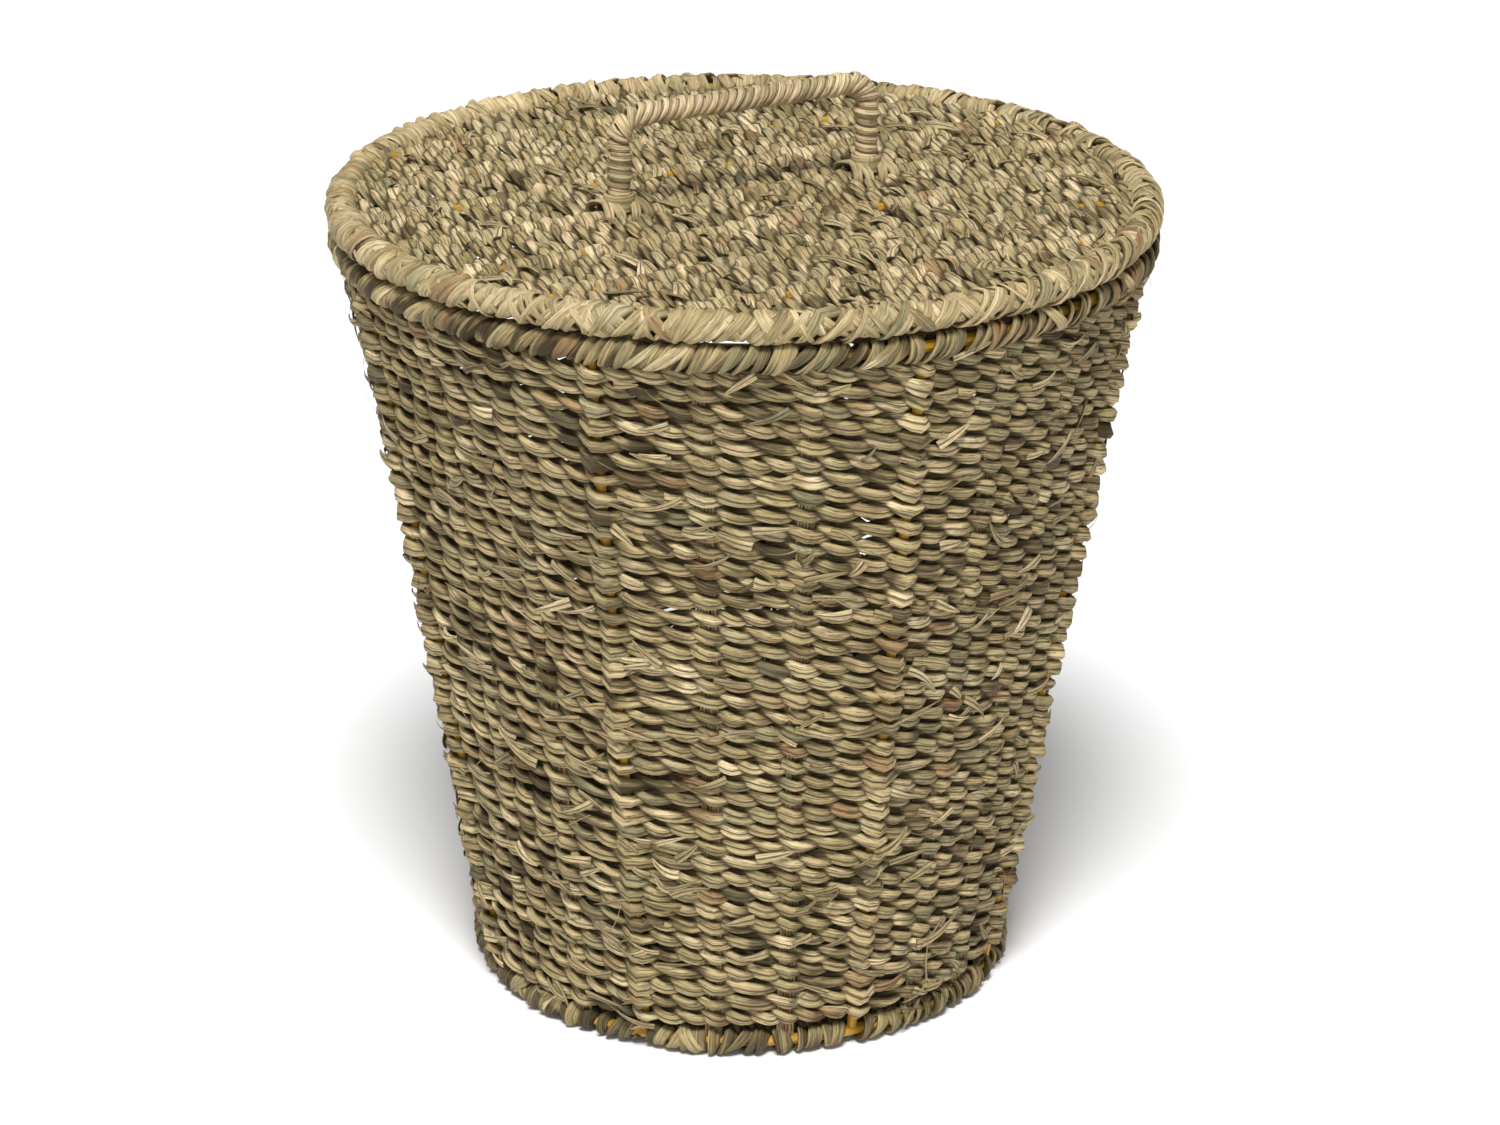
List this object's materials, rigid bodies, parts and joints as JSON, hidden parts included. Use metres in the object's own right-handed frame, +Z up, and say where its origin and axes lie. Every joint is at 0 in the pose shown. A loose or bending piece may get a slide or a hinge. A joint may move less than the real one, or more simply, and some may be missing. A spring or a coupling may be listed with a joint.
{
  "type": "lidded wicker basket",
  "caption": "Round tapered storage basket of twined seagrass rope on a wire frame, with a loose flat lid and a wrapped staple handle.",
  "frame": {"origin": "middle of the footprint, on the floor", "axes": "+Z up, +X along the lid's handle"},
  "size_m": [0.3674, 0.3674, 0.4119],
  "materials": {
    "yellow_wire": "golden yellow lacquer, worn",
    "seagrass_rope": "dry twisted seagrass, matt, mixed tan and grey green",
    "seagrass_wrap": "dry seagrass lashing, matt",
    "handle_leaf": "broad tan leaf, satin"
  },
  "bodies": {
    "basket": {"base_ring": "yellow_wire", "top_ring": "yellow_wire", "side_stake_1": "yellow_wire", "side_stake_2": "yellow_wire", "side_stake_3": "yellow_wire", "side_stake_4": "yellow_wire", "side_stake_5": "yellow_wire", "side_stake_6": "yellow_wire", "side_stake_7": "yellow_wire", "side_stake_8": "yellow_wire", "base_wire_1": "yellow_wire", "base_wire_2": "yellow_wire", "base_wire_3": "yellow_wire", "base_wire_4": "yellow_wire", "warp_cord_01": "seagrass_rope", "warp_cord_02": "seagrass_rope", "warp_cord_03": "seagrass_rope", "warp_cord_04": "seagrass_rope", "warp_cord_05": "seagrass_rope", "warp_cord_06": "seagrass_rope", "warp_cord_07": "seagrass_rope", "warp_cord_08": "seagrass_rope", "warp_cord_09": "seagrass_rope", "warp_cord_10": "seagrass_rope", "warp_cord_11": "seagrass_rope", "warp_cord_12": "seagrass_rope", "warp_cord_13": "seagrass_rope", "warp_cord_14": "seagrass_rope", "warp_cord_15": "seagrass_rope", "warp_cord_16": "seagrass_rope", "wall_weave": "seagrass_rope", "base_weave": "seagrass_rope", "rim_wrap": "seagrass_wrap", "base_wrap": "seagrass_wrap"},
    "lid": {"lid_ring": "yellow_wire", "lid_wire_1": "yellow_wire", "lid_wire_2": "yellow_wire", "lid_wire_3": "yellow_wire", "lid_wire_4": "yellow_wire", "lid_wire_5": "yellow_wire", "lid_wire_6": "yellow_wire", "lid_wire_7": "yellow_wire", "lid_weave": "seagrass_rope", "lid_wrap": "seagrass_wrap", "handle_wire": "yellow_wire", "handle_wrap": "handle_leaf", "handle_lashing_1": "seagrass_wrap", "handle_lashing_2": "seagrass_wrap"}
  },
  "joints": [
    {"name": "lid_lift", "type": "slide", "parent": "basket", "child": "lid", "axis": [0, 0, 1], "range_m": [0, 0.3]}
  ]
}
